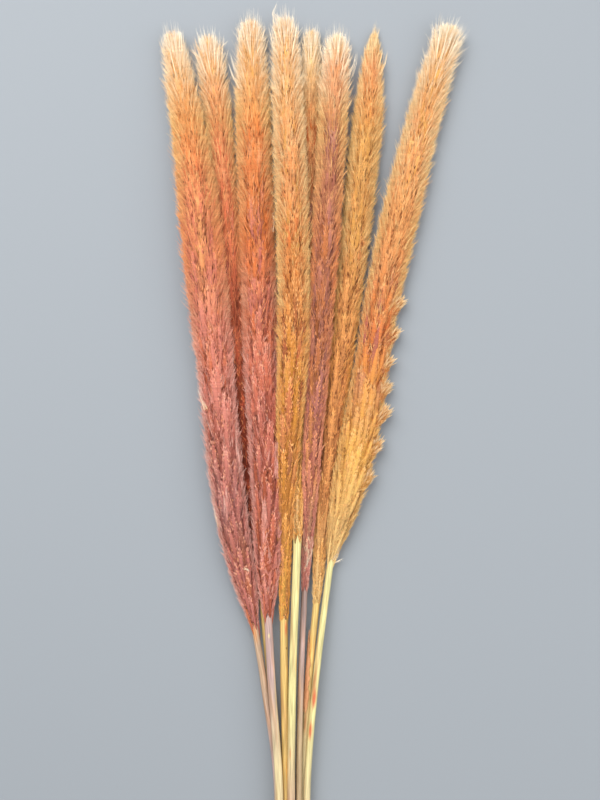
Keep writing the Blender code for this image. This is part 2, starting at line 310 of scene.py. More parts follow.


# %% [markdown]
# ## Dyed hair as a material
#
# Reed hair is dry cellulose: thin, matt and a little translucent. Its highlights are broad and weak, so
# the roughness is high and the specular level low, and a little sheen stands for the light that loose fibre
# ends catch. Each hair is painted darker at its root and lighter towards its end: painted shade, for roots
# that sit in the dark deep in the plume. Near the tip the plume is open and pale all through, so the painted
# shade fades there. A fine noise over the UV map makes one hair a little redder or lighter than the next.


# %% The plume material
EVENNESS = {"reed_1": 0.15, "reed_7": 0.3, "reed_8": 0.6}   # how little its roots are painted in shade, at the stem
OPENING, OPENNESS = (0.25, 0.75), 0.6            # where the plume opens, and how little painted root shade there is above
OPEN_AT, OPEN_LIGHT = (0.5, 0.95), (0.8, 0.94)   # how light the open hair's painted shade is, at two places up the plume
ROOT_ENDS = 0.6                                  # how far along a hair its painted root shade fades
PATCHES, FINE_HAIRS = (14.0, 1.0, 1.0), (420.0, 0.6, 1.0)   # how often both noises change, up and across
DRIFT = 0.25                                     # how far a patch strays in its share of the other dye
HAIR_LIGHT = (0.88, 1.1)                         # the darkest and the lightest hair


def plume_material(reed):
    material, tree, shader = new_material(f"dyed_reed_hair_{reed.name}", 0.85, 0.2)
    shader.inputs["Sheen Weight"].default_value = 0.1
    shader.inputs["Sheen Roughness"].default_value = 0.6
    place = add(tree, "ShaderNodeSeparateXYZ", {0: add(tree, "ShaderNodeUVMap", uv_map="OFBake").outputs[0]})
    up, band = place.outputs["X"], place.outputs["Y"]
    in_bands = add(tree, "ShaderNodeMath", {0: band, 1: float(BANDS)}, operation="MULTIPLY")
    in_band = add(tree, "ShaderNodeMath", {0: in_bands.outputs[0]}, operation="FRACT")
    to_end = add(tree, "ShaderNodeMapRange",
                 {"Value": in_band.outputs[0], "From Min": BAND_MARGIN, "From Max": 1 - BAND_MARGIN},
                 interpolation_type="SMOOTHSTEP")
    openness = add(tree, "ShaderNodeMapRange",
                   {"Value": up, "From Min": OPENING[0], "From Max": OPENING[1],
                    "To Min": EVENNESS.get(reed.name, 0.0), "To Max": OPENNESS},
                   interpolation_type="SMOOTHSTEP")

    main_dyes, other_dyes, pale_dyes = PLUME_DYES[reed.name]
    main = add(tree, "ShaderNodeValToRGB", {0: up}, dye_stops(DYE_AT, main_dyes))
    other = add(tree, "ShaderNodeValToRGB", {0: up}, dye_stops(DYE_AT, other_dyes))
    pale = add(tree, "ShaderNodeValToRGB", {0: up}, dye_stops(PALE_AT, pale_dyes))
    dyes = add(tree, "ShaderNodeValToRGB", {0: band}, band_stops(PART_DYES))
    tones = add(tree, "ShaderNodeValToRGB", {0: band}, band_stops(PART_TONES))
    dyes.color_ramp.interpolation = tones.color_ramp.interpolation = "CONSTANT"
    dyes = add(tree, "ShaderNodeSeparateColor", {0: dyes.outputs[0]})
    tones = add(tree, "ShaderNodeSeparateColor", {0: tones.outputs[0]})

    strand = add(tree, "ShaderNodeCombineXYZ", {0: up, 1: in_bands.outputs[0]})
    patches = add(tree, "ShaderNodeMapping", {0: strand.outputs[0], "Scale": PATCHES})
    patches = add(tree, "ShaderNodeTexNoise", {"Vector": patches.outputs[0], "Scale": 1.0, "Detail": 3.0},
                  noise_dimensions="2D")
    hairs = add(tree, "ShaderNodeMapping", {0: strand.outputs[0], "Scale": FINE_HAIRS})
    hairs = add(tree, "ShaderNodeTexNoise", {"Vector": hairs.outputs[0], "Scale": 1.0, "Detail": 1.0},
                noise_dimensions="2D")
    drift = add(tree, "ShaderNodeMapRange", {"Value": patches.outputs[0], "From Min": 0.35, "From Max": 0.65,
                                             "To Min": -DRIFT, "To Max": DRIFT})
    share = add(tree, "ShaderNodeMath", {0: dyes.outputs[0], 1: drift.outputs[0]},
                operation="ADD", use_clamp=True)
    colour = add(tree, "ShaderNodeMix", {0: share.outputs[0], 6: main.outputs[0], 7: other.outputs[0]},
                 data_type="RGBA")
    # bright grains are mixed toward peach and made brighter: partly painted glints
    bright = add(tree, "ShaderNodeMix", {0: tones.outputs[1], 6: colour.outputs[2], 7: linear("peach")},
                 data_type="RGBA")
    paled = add(tree, "ShaderNodeMath", {0: dyes.outputs[1], 1: to_end.outputs[0]}, operation="MULTIPLY")
    colour = add(tree, "ShaderNodeMix", {0: paled.outputs[0], 6: bright.outputs[2], 7: pale.outputs[0]},
                 data_type="RGBA")
    colour = add(tree, "ShaderNodeMix", {0: dyes.outputs[2], 6: colour.outputs[2], 7: linear("bark")},
                 data_type="RGBA")

    # painted shade: each part's brightness, darker at a hair's root and lifted where the plume opens
    from_root = add(tree, "ShaderNodeMapRange", {"Value": in_band.outputs[0], "From Min": BAND_MARGIN,
                                                 "From Max": ROOT_ENDS, "To Min": tones.outputs[2]})
    depth = add(tree, "ShaderNodeMath", {0: tones.outputs[0], 1: from_root.outputs[0]}, operation="MULTIPLY")
    airy = add(tree, "ShaderNodeMapRange", {"Value": up, "From Min": OPEN_AT[0], "From Max": OPEN_AT[1],
                                            "To Min": OPEN_LIGHT[0], "To Max": OPEN_LIGHT[1]})
    opened = add(tree, "ShaderNodeMix", {0: openness.outputs[0], 2: depth.outputs[0], 3: airy.outputs[0]},
                 data_type="FLOAT")
    husk = add(tree, "ShaderNodeMath", {0: dyes.outputs[2], 1: 0.5}, operation="GREATER_THAN")
    light = add(tree, "ShaderNodeMix", {0: husk.outputs[0], 2: opened.outputs[0], 3: depth.outputs[0]},
                data_type="FLOAT")
    uneven = add(tree, "ShaderNodeMapRange", {"Value": hairs.outputs[0], "From Min": 0.3, "From Max": 0.7,
                                              "To Min": HAIR_LIGHT[0], "To Max": HAIR_LIGHT[1]})
    light = add(tree, "ShaderNodeMath", {0: light.outputs[0], 1: uneven.outputs[0]}, operation="MULTIPLY")
    colour = add(tree, "ShaderNodeVectorMath", {0: colour.outputs[2], "Scale": light.outputs[0]},
                 operation="SCALE")
    tree.links.new(colour.outputs[0], shader.inputs["Base Color"])
    return material


plume_materials = {reed.name: plume_material(reed) for reed in REEDS}
print("plume materials:", len(plume_materials))

# %% [markdown]
# ## Four tiny shapes
#
# A plume is made of flower scales, hairs, fluff and locks. A scale is a kite of two faces, folded like a
# roof so that its halves catch the light unlike each other. A long hair is a narrow ribbon that bends and
# ends in a point. Short fluff is a single thin triangle, so there can be three times as much of it. A lock, the little
# branch that carries them, is a ball drawn out into a spindle. Each is modelled once, one unit high along Z
# and one unit to each side, and is only a pattern: it is read and removed.


# %% Model the scale, the hair, the fluff and the lock
UPRIGHT = (math.pi / 2, 0, 0)


def start_shape():
    """Everything is deselected first, because an operator acts on all that is selected."""
    bpy.ops.object.select_all(action="DESELECT")


def edit_shape():
    """Puts the new shape's place into its mesh, and opens it for editing."""
    bpy.ops.object.transform_apply(location=True, rotation=True, scale=True)
    bpy.ops.object.mode_set(mode="EDIT")
    return bpy.context.object


def choose(thing, kind, wanted):
    """Selects the points, edges or faces that a test picks, and nothing else."""
    bpy.ops.mesh.select_mode(type=kind)
    bpy.ops.mesh.select_all(action="DESELECT")
    bpy.ops.object.mode_set(mode="OBJECT")
    mesh = thing.data
    for part in {"VERT": mesh.vertices, "EDGE": mesh.edges, "FACE": mesh.polygons}[kind]:
        part.select = bool(wanted(part))
    bpy.ops.object.mode_set(mode="EDIT")


def stand_up():
    """Makes a shape that is two units high round the origin one unit high, with its foot there."""
    bpy.ops.mesh.select_all(action="SELECT")
    bpy.ops.transform.resize(value=(1, 1, 0.5))
    bpy.ops.transform.translate(value=(0, 0, 0.5))


def pointed_ribbon(pieces):
    start_shape()
    bpy.ops.mesh.primitive_grid_add(x_subdivisions=1, y_subdivisions=pieces, size=2, rotation=UPRIGHT)
    made = edit_shape()
    stand_up()
    choose(made, "VERT", lambda point: point.co.z > 0.9)
    bpy.ops.mesh.merge(type="CENTER")
    return made


def read_and_remove(thing):
    """The shape as arrays: points, each face's corners one after another, and corners per face."""
    bpy.ops.object.mode_set(mode="OBJECT")
    mesh = thing.data
    points = np.array([v.co for v in mesh.vertices])
    corners = np.array([i for face in mesh.polygons for i in face.vertices])
    sizes = np.array([len(face.vertices) for face in mesh.polygons])
    bpy.data.objects.remove(thing, do_unlink=True)
    return points, corners, sizes


start_shape()
bpy.ops.mesh.primitive_circle_add(vertices=4, radius=1, fill_type="NGON", rotation=UPRIGHT)
kite = edit_shape()
stand_up()
choose(kite, "VERT", lambda point: abs(point.co.x) < 0.1)
bpy.ops.mesh.vert_connect()
choose(kite, "VERT", lambda point: abs(point.co.x) > 0.1)
bpy.ops.transform.translate(value=(0, -0.4, -0.08))
SCALE = read_and_remove(kite)

ribbon = pointed_ribbon(2)
choose(ribbon, "VERT", lambda point: 0.4 < point.co.z < 0.6)
bpy.ops.transform.resize(value=(0.75, 1, 1), center_override=(0, 0, 0))
HAIR = read_and_remove(ribbon)

FLUFF = read_and_remove(pointed_ribbon(1))

start_shape()
bpy.ops.mesh.primitive_uv_sphere_add(segments=6, ring_count=5, radius=1)
spindle = edit_shape()
stand_up()
LOCK = read_and_remove(spindle)
print("faces: scale", len(SCALE[2]), "hair", len(HAIR[2]), "fluff", len(FLUFF[2]), "lock", len(LOCK[2]))

# %% [markdown]
# ## Copying a shape ten thousand times
#
# An Array modifier repeats a shape along a line, and a particle system is lost in an export, so the copies
# are worked out as arrays: each one's root, middle and end give a smooth arc, and the shape is bent along
# it. They all go in one heap, which becomes one mesh, with the UV map written as it goes.

# %% The heap of copies
UV_WIDTH = 0.0012        # how wide a hair is in the UV map, so that no face there is empty
LOWEST = 0.2             # mm, nothing hangs lower over the surface


class Heap:
    """Copies of small shapes that will be one mesh."""

    def __init__(self):
        self.points, self.corners, self.sizes, self.uvs, self.count = [], [], [], [], 0

    def add_mesh(self, points, corners, sizes, uvs):
        points = points.copy()
        points[:, 2] = np.maximum(points[:, 2], LOWEST)
        self.points.append(points)
        self.corners.append(corners + self.count)
        self.sizes.append(sizes)
        self.uvs.append(uvs)
        self.count += len(points)

    def add_copies(self, shape, arc, width, side, face, up_plume, band, lit=(0.0, 1.0)):
        """A copy on every arc of root, bow and end. Side and face are its width's directions, and lit is the
        part of its band that it uses, which sets its painted shade: 0 is deep in the plume and 1 at its surface."""
        points, corners, sizes = shape
        root, bow, end = (way[:, None] for way in arc)
        z = points[:, 2][None, :, None]
        line = (1 - z) ** 2 * root + 2 * z * (1 - z) * bow + z**2 * end
        broad = points[:, 0][None, :, None] * side[:, None] + points[:, 1][None, :, None] * face[:, None]
        number = np.arange(len(side))[:, None]
        placed = line + broad * np.broadcast_to(width, len(side))[:, None, None]
        start, stop = (np.clip(at, 0.003, 0.997)[:, None] for at in up_plume)
        height = points[corners, 2][None, :]
        u = start + (stop - start) * height + UV_WIDTH * points[corners, 0][None, :]
        dark, bright = (np.broadcast_to(value, len(side))[:, None] for value in lit)
        v = (band[:, None] + BAND_MARGIN + (1 - 2 * BAND_MARGIN) * (dark + (bright - dark) * height)) / BANDS
        self.add_mesh(placed.reshape(-1, 3), (corners[None, :] + number * len(points)).ravel(),
                      np.tile(sizes, len(side)), np.stack([u, v], axis=-1).reshape(-1, 2))

    def become_object(self, name, material):
        sizes = np.concatenate(self.sizes)
        mesh = bpy.data.meshes.new(name)
        mesh.vertices.add(self.count)
        mesh.vertices.foreach_set("co", ((np.concatenate(self.points) + SHIFT) * MM).astype(np.float32).ravel())
        mesh.loops.add(int(sizes.sum()))
        mesh.loops.foreach_set("vertex_index", np.concatenate(self.corners).astype(np.int32))
        mesh.polygons.add(len(sizes))
        mesh.polygons.foreach_set("loop_start", (np.cumsum(sizes) - sizes).astype(np.int32))
        mesh.polygons.foreach_set("use_smooth", np.ones(len(sizes), bool))
        mesh.update(calc_edges=True)
        uv_map = mesh.uv_layers.new(name="OFBake")
        uv_map.data.foreach_set("uv", np.concatenate(self.uvs).astype(np.float32).ravel())
        mesh.materials.append(material)
        thing = bpy.data.objects.new(name, mesh)
        bpy.context.scene.collection.objects.link(thing)
        print(name, "triangles:", int((sizes - 2).sum()))
        return thing


def rise_to(reed, t, length, rise):
    """How far up the plume a hair of a length gets, in shares, when it also rises that many mm."""
    return t + np.sqrt(np.maximum(length**2 - rise**2, (0.35 * length) ** 2)) / reed.length


def grow(heap, shape, reed, root, end, width, roll, bend, band, lit=(0.0, 1.0)):
    """Copies between two places on a plume, each given as t, angle and share. Bend bows them out, in mm."""
    (t0, angle0, share0), (t1, angle1, share1) = root, end
    start, stop = on_plume(reed, t0, angle0, share0), on_plume(reed, t1, angle1, share1)
    between = (start + stop) / 2
    outward = unit(between - middle(reed, (t0 + t1) / 2))
    along = unit(stop - start)
    side = unit(np.cross(along, outward))
    face = np.cross(side, along)
    turned = np.cos(roll)[:, None] * side + np.sin(roll)[:, None] * face
    bow = between + outward * np.broadcast_to(bend, len(t0))[:, None]
    heap.add_copies(shape, (start, bow, stop), width, turned, np.cross(turned, along), (t0, t1), band, lit)


# %% [markdown]
# ## How a plume changes from stem to tip
#
# Low on the plume the branches lie close, as ropes of about 3 mm that carry short bright scales, and they
# fill it to its edge. Towards the tip they get short and loose, the scales turn into long fine hairs, and
# the dense part is only two thirds as wide as the pale fuzz round it. At the very end it runs to a point,
# and the fuzz alone makes the tip. All of that is said by a few rows of values, each read at the same places
# along the plume.

# %% The rows of values
ALONG = (0.0, 0.1, 0.3, 0.6, 0.85, 0.94, 1.0)
BODY = (1.0, 1.02, 1.0, 0.8, 0.66, 0.47, 0.15)           # how far out the dense part reaches
LOCK_LENGTH = (16.0, 21.0, 25.0, 21.0, 15.0, 11.0, 8.0)  # mm
LOCK_RADIUS = (0.9, 1.4, 1.8, 1.7, 1.4, 1.1, 0.8)        # mm
SCALE_LENGTH = (1.4, 1.5, 1.8, 3.0, 4.4, 5.0, 5.0)       # mm
SCALE_WIDTH = (0.34, 0.38, 0.38, 0.28, 0.20, 0.18, 0.16) # mm, half of a scale's
SCALE_LEAN = (12.0, 13.0, 15.0, 19.0, 23.0, 24.0, 24.0)  # degrees
FLUFF_LENGTH = (3.0, 3.8, 4.8, 6.2, 7.4, 8.0, 8.0)       # mm
FLUFF_COUNT = (0.3, 0.3, 0.32, 0.75, 1.0, 0.45, 0.1)     # how much of it grows there
FLUFF_EDGE = (0.9, 0.9, 0.87, 0.82, 0.78, 0.65, 0.5)     # how much of that grows at the edges
FLUFF_SPREAD = (0.15, 0.15, 0.18, 0.32, 0.4, 0.45, 0.45) # how far round the edge goes, in radians
SOFTNESS = (0.0, 0.0, 0.0, 0.25, 0.5, 0.7, 1.0)          # how little painted shade a lock's sides get
GRAIN_GLINTS = (0.3, 0.35, 0.35, 0.2, 0.05, 0.0, 0.0)          # how many scales are bright grains: partly painted glints
LOCK_REACH = 0.27        # a lock's radius is at most this share of the plume's half width


def row(values, t):
    return np.interp(t, ALONG, values)


def bulk(reed):
    """A plume's size over the largest one's, which sets how much grows on it."""
    t = np.linspace(0, 1, 50)
    return float(np.mean(half_width(reed, t)) * reed.length / 2450.0)


print("bulk of each plume:", [round(bulk(reed), 2) for reed in REEDS])

# %% [markdown]
# ## The undercoat
#
# Under the locks there has to be something dark and closed, or the surface below shines through. Its dark
# colour is painted shade, standing for the depth between the locks. It is a ball drawn out into a long
# spindle: a UV sphere has its rings one above the other and closed poles, so each ring becomes a
# cross-section of the plume.

# %% Draw a ball out into the undercoat
CORE_SIDES, CORE_RINGS = 20, 110
CORE_END = 0.95          # where the undercoat ends, as a share of the plume's length
CORE_UNDER = 0.28        # how far under the dense part's surface it lies, in shares


def undercoat(heap, reed):
    start_shape()
    bpy.ops.mesh.primitive_uv_sphere_add(segments=CORE_SIDES, ring_count=CORE_RINGS, radius=1)
    points, corners, sizes = read_and_remove(bpy.context.object)
    along = 1 - np.arccos(np.clip(points[:, 2], -1, 1)) / np.pi
    angle = np.arctan2(points[:, 1], points[:, 0])
    t = along * CORE_END
    round_end = np.sqrt(np.clip((1 - along) / 0.03, 0.0, 1.0)) * np.sqrt(np.clip(along / 0.004, 0.0, 1.0))
    share = (row(BODY, t) - CORE_UNDER) * round_end
    # its band paints it dark: painted shade, for the depth between the locks
    uvs = np.stack([np.clip(t[corners], 0.003, 0.997),
                    (UNDERCOAT + 0.2 + 0.6 * (angle[corners] / math.tau + 0.5)) / BANDS], axis=-1)
    heap.add_mesh(on_plume(reed, t, angle, share), corners, sizes, uvs)


# %% [markdown]
# ## Locks and their scales
#
# The flower branches leave the stalk like flames that lick up the plume. Every lock has a root, a side, a
# length, a thickness and a dye of its own. The golden angle spreads the locks evenly without rows, and they
# start closer together where they are short. A lock starts deep inside and comes out at an angle, so from
# above the locks fan out to both sides like a herringbone, each over the root of the next. Scales cover each
# lock and lean out from its own middle line. They are painted darkest at its root and down its sides, as
# painted shade, which is what makes a lock stand out from its neighbours.

# %% Grow the locks
GOLDEN_ANGLE = 2.39996
LOCKS = 290              # on the largest plume
LOCKS_FROM, LOCKS_TO = -0.03, 0.94                 # the places up the plume where the first and last start
LOCK_TINTS = (0.38, 0.27, 0.2, 0.15)               # how many are main, other, light and dark
LOCK_ROOT = 0.6          # how far out a lock starts, over how far out it ends
LOCK_BOW = 0.1           # how far it bows out, over the plume's half width
LOCK_SLIM = 0.85         # how thick the bare lock is, over the radius that its scales stand on
LOCK_LIT = (0.1, 0.4)    # painted dark as shade, as it is seen only between scales


@dataclass(frozen=True)
class Locks:
    """The locks of one plume. Each field has a value for every lock."""

    start: np.ndarray        # where it starts, up the plume
    angle: np.ndarray
    sway: np.ndarray         # how far it turns round the plume up to its end
    far: np.ndarray          # how far out it ends
    length: np.ndarray       # mm
    radius: np.ndarray       # mm
    tint: np.ndarray
    glow: np.ndarray         # how much lighter than others it is


def grow_locks(heap, reed, rand):
    count = round(LOCKS * bulk(reed))
    fine = np.linspace(LOCKS_FROM, LOCKS_TO, 400)
    crowd = np.cumsum(half_width(reed, fine) / (row(LOCK_LENGTH, fine) * row(LOCK_RADIUS, fine)))
    start = np.interp((np.arange(count) + rand.uniform(0, 1, count)) / count, crowd / crowd[-1], fine)
    angle = (np.arange(count) * GOLDEN_ANGLE + rand.uniform(-0.2, 0.2, count)) % math.tau
    length = np.minimum(row(LOCK_LENGTH, start) * rand.uniform(0.75, 1.3, count), (0.98 - start) * reed.length)
    end = start + length / reed.length
    radius = np.minimum(row(LOCK_RADIUS, start) * rand.uniform(0.8, 1.2, count),
                        LOCK_REACH * half_width(reed, (start + end) / 2))
    far = row(BODY, end) - 0.55 * radius / half_width(reed, end) + rand.uniform(-0.06, 0.03, count)
    sway = rand.normal(0, 0.12, count)
    tint = rand.choice((MAIN, OTHER, MAIN_LIGHT, OTHER_DARK), count, p=LOCK_TINTS)
    glow = rand.uniform(-0.2, 0.15, count)
    grow(heap, LOCK, reed, (start, angle, far * LOCK_ROOT), (end, angle + sway, far), radius * LOCK_SLIM,
         rand.uniform(0, 1, count), LOCK_BOW * half_width(reed, start), tint, LOCK_LIT)
    return Locks(start, angle, sway, far, length, radius, tint, glow)


# %% Cover the locks with scales
SCALES = 34000           # on the largest plume
SCALE_ROUND = 1.6        # radians round a lock, to either side of its outermost line
SCALE_BOW = 0.05         # mm
SCALE_SPAN = 0.3         # how much lighter a scale's end is than its root, as a share of its band: painted shade at the root
LEAST_GIRTH, LEAST_SHARE = 1.2, 0.3                # mm and a share, so that nothing is divided by nearly 0
OWN_TINT = 0.7           # how many have their lock's tint


def grow_scales(heap, reed, locks, rand):
    area = locks.radius * locks.length
    n = round(SCALES * bulk(reed))
    lock = rand.choice(len(area), n, p=area / area.sum())
    s = rand.uniform(0, 1, n)
    round_lock = rand.uniform(-SCALE_ROUND, SCALE_ROUND, n)
    up, out = np.sin(round_lock), np.cos(round_lock)
    t0 = locks.start[lock] + s * locks.length[lock] / reed.length
    girth = np.maximum(half_width(reed, t0), LEAST_GIRTH)
    reach = locks.radius[lock] * np.sqrt(np.sin(np.pi * (0.08 + 0.87 * s**0.9)))
    centre = locks.far[lock] * (LOCK_ROOT + (1 - LOCK_ROOT) * s**0.75)
    share0 = centre + 0.9 * reach * out / girth
    aside = 0.9 * reach * up / (np.maximum(centre, LEAST_SHARE) * girth)
    angle0 = locks.angle[lock] + locks.sway[lock] * s + aside

    long = np.minimum(row(SCALE_LENGTH, t0), (1.0 - t0) * reed.length) * rand.uniform(0.7, 1.3, n)
    lift = long * np.sin(np.radians(row(SCALE_LEAN, t0)) * rand.uniform(0.4, 1.6, n))
    edge = row(BODY, t0) + rand.uniform(0.0, 0.08, n)
    share1 = np.minimum(share0 + lift * np.maximum(out, 0.25) / girth, edge)
    aside = 0.8 * lift * up / (np.maximum(share0, LEAST_SHARE) * girth)
    angle1 = angle0 + aside + rand.normal(0, 0.25, n) / girth
    t1 = rise_to(reed, t0, long, lift)

    # painted shade: a scale is darker near its lock's root and down its sides, less so where the plume is soft
    lit = np.clip((0.1 + s) * np.maximum(out, 0) ** 1.5 + locks.glow[lock], 0, 1)
    lit = 0.7 * (lit + (0.75 - lit) * row(SOFTNESS, t0))
    own = rand.uniform(0, 1, n) < OWN_TINT
    mixed = rand.choice((MAIN, OTHER, MAIN_LIGHT), n)
    # bright grains grow where a scale faces out of its lock: partly painted glints
    grain = rand.uniform(0, 1, n) < row(GRAIN_GLINTS, t0) * np.maximum(out, 0)
    band = np.where(grain, GRAIN_GLINT, np.where(own, locks.tint[lock], mixed))
    width = row(SCALE_WIDTH, t0) * rand.uniform(0.7, 1.3, n)
    grow(heap, SCALE, reed, (t0, angle0, share0), (t1, angle1, share1), width,
         rand.normal(0, 0.35, n), SCALE_BOW, band, (lit, lit + SCALE_SPAN))


# %% [markdown]
# ## Husks
#
# Between the hairs sit dry husks: dark, thin and pointed, most of them in the upper half, where the hair is
# fine enough to show them. They use the scale's shape, narrower, and lean the way that the hair does.

# %% Sow the husks
HUSKS = 1000             # on the largest plume
MORE_HUSKS = {"reed_4": 1.3, "reed_7": 2.0, "reed_8": 0.7}
HUSKS_FROM, HUSKS_OVER = 0.25, 0.69                # where they start, and over how much of the plume
HUSK_LENGTH, HUSK_WIDTH = (1.6, 3.2), 0.2          # mm, half of its width
HUSK_LEAN = 0.06         # how much further out its end is


def husks(heap, reed, rand):
    count = round(HUSKS * bulk(reed) * MORE_HUSKS.get(reed.name, 1.0))
    t0 = HUSKS_FROM + rand.beta(2.0, 1.2, count) * HUSKS_OVER
    angle = rand.uniform(-0.4, math.pi + 0.4, count)
    share = row(BODY, t0) - rand.uniform(-0.02, 0.1, count)
    t1 = t0 + rand.uniform(*HUSK_LENGTH, count) / reed.length
    grow(heap, SCALE, reed, (t0, angle, share), (t1, angle, share + HUSK_LEAN), HUSK_WIDTH,
         rand.uniform(-0.6, 0.6, count), 0.0, np.full(count, HUSK))


# %% [markdown]
# ## Fluff and brush
#
# The outermost hairs stand off at 15 to 40 degrees and are too thin to hide what is behind them. On the plume
# itself they soften the grain, and along both edges they add up to a pale rim, so more of them grow there,
# and those are the palest: partly the hair's pale ends, partly painted light, palest where no neighbour
# shades them. Dry hairs cling together at their ends, so they grow in wisps, and the rim is spiky. At the
# tip the stalk ends, and longer wisps fan out alone for another ten millimetres: a ragged, nearly white
# brush, longest in its middle.

# %% Grow the fluff and the brush
LEAST_WISP_GIRTH = 1.5                             # mm
WISP_HAIRS, WISP_SPREAD = 6, 0.75                  # hairs whose ends meet, and mm between their roots
PALE_HALF = (0.5, 1.0)                             # the outer half of a band, for hair that is pale all along, with little painted root shade
# shape, hairs on the largest plume, hairs of a wisp, mm of half a hair, length over the row's, reach
FLUFF_KINDS = ((FLUFF, 84000, WISP_HAIRS, 0.12, 1.0, 1.1), (HAIR, 7000, 3, 0.1, 1.5, 1.24))
FLUFF_FROM, FLUFF_TO, FLUFF_TOP = -0.004, 0.982, 0.995   # the lowest and highest roots, and the highest end
FLUFF_LEAN, FLUFF_LEANS = (33, 22), 8              # degrees at the edges and elsewhere, and how much they vary
FLUFF_TINTS = (0.15, 0.45, 0.4)                    # how many are pale, light and main, away from the edges
RIGHT, LEFT = 0.0, math.pi
OUTER_SIDE = {"reed_1": LEFT, "reed_8": RIGHT}     # no neighbour shades it there, so its rim is painted light all along
PALE_RIM_FROM = 0.5                                # the place up the plume where both sides start to get it
PALE_RIM = (0.78, 0.25)                            # the share of pale hair on a rim painted light, and elsewhere
# wisps in the brush, hairs of each, mm of half a hair, the highest end, how much lower the others end
BRUSH_KINDS = ((100, 5, 0.14, 1.003, 0.032), (80, 2, 0.08, 1.018, 0.03))
BRUSH_FROM, BRUSH_OVER, BRUSH_SPREAD = 0.88, 0.09, 0.6   # where it starts, over how much, and a wisp's spread
BRUSH_PALE = 0.88                                  # how many of its wisps are pale
# the part of a band that the brush uses: high, so little painted root shade
BRUSH_LIT = (0.6, 1.0)


def wisps(heap, shape, reed, root, end, many, spread, width, band, lit, rand):
    """Hairs that start apart and meet in a point, around every root and end that is given."""
    (t0, angle0, share0), (t1, angle1, share1), band = (
        [np.repeat(values, many) for values in place] for place in (root, end, (band,)))
    n = len(t0)
    girth = np.maximum(half_width(reed, t0), LEAST_WISP_GIRTH)
    up, across = rand.normal(0, spread, (2, n))
    start = (np.maximum(t0 + up / reed.length, -0.005), angle0 + across / girth, share0)
    stop = (t1 + (0.2 * up + rand.normal(0, 0.4, n)) / reed.length, angle1 + 0.15 * across / girth, share1)
    grow(heap, shape, reed, start, stop, width * rand.uniform(0.75, 1.25, n), rand.uniform(0, math.pi, n),
         rand.uniform(-0.1, 0.4, n), band[0], lit)


def fluff(heap, reed, rand):
    for shape, many, together, width, longer, farthest in FLUFF_KINDS:
        t0 = rand.uniform(FLUFF_FROM, FLUFF_TO, round(many * bulk(reed) / together))
        t0 = t0[rand.uniform(0, 1, len(t0)) < row(FLUFF_COUNT, t0)]
        n = len(t0)
        at_edge = rand.uniform(0, 1, n) < row(FLUFF_EDGE, t0)
        side = rand.choice((RIGHT, LEFT), n)
        edge = side + rand.normal(0, row(FLUFF_SPREAD, t0), n)
        angle = np.where(at_edge, edge, rand.uniform(-0.7, math.pi + 0.7, n))
        girth = np.maximum(half_width(reed, t0), LEAST_WISP_GIRTH)
        share0 = np.maximum(row(BODY, t0) - rand.uniform(0.02, 0.22, n), 0.1)
        long = row(FLUFF_LENGTH, t0) * longer * rand.uniform(0.6, 1.25, n)
        long = np.minimum(long, (FLUFF_TOP - t0) * reed.length)
        lean = np.radians(np.clip(rand.normal(np.where(at_edge, *FLUFF_LEAN), FLUFF_LEANS, n), 6, 55))
        room = np.maximum(rand.normal(farthest, 0.12, n) - share0, 0.05) * girth
        rise = np.minimum(long * np.sin(lean), room)
        t1 = rise_to(reed, t0, long, rise)
        # pale rim: partly the hair's pale ends, partly painted light where no neighbour shades the edge
        pale_rim_share = np.where((t0 > PALE_RIM_FROM) | (side == OUTER_SIDE.get(reed.name)), *PALE_RIM)
        band = np.where(at_edge, np.where(rand.uniform(0, 1, n) < pale_rim_share, PALE, MAIN_LIGHT),
                        rand.choice((PALE, MAIN_LIGHT, MAIN), n, p=FLUFF_TINTS))
        angle1 = angle + rand.normal(0, 0.9, n) / girth
        wisps(heap, shape, reed, (t0, angle, share0), (t1, angle1, share0 + rise / girth), together,
              WISP_SPREAD, width, band, PALE_HALF, rand)


def brush(heap, reed, rand):
    for many, together, width, highest, lower in BRUSH_KINDS:
        n = round(many * (0.5 + 0.5 * bulk(reed)))
        t0 = BRUSH_FROM + BRUSH_OVER * rand.beta(2.0, 2.0, n)
        angle = (np.arange(n) * GOLDEN_ANGLE + rand.uniform(-0.3, 0.3, n)) % math.tau
        out = np.sqrt(rand.uniform(0, 1, n))
        share1 = out * rand.uniform(1.05, 1.45, n)
        t1 = np.maximum(highest - 0.007 * share1**2 - lower * rand.uniform(0, 1, n) ** 1.3, t0 + 0.02)
        angle1 = angle + rand.normal(0, 0.15, n)
        band = rand.choice((PALE, MAIN_LIGHT), n, p=(BRUSH_PALE, 1 - BRUSH_PALE))
        wisps(heap, HAIR, reed, (t0, angle, out * row(BODY, t0) * 0.9), (t1, angle1, share1), together,
              BRUSH_SPREAD, width, band, BRUSH_LIT, rand)
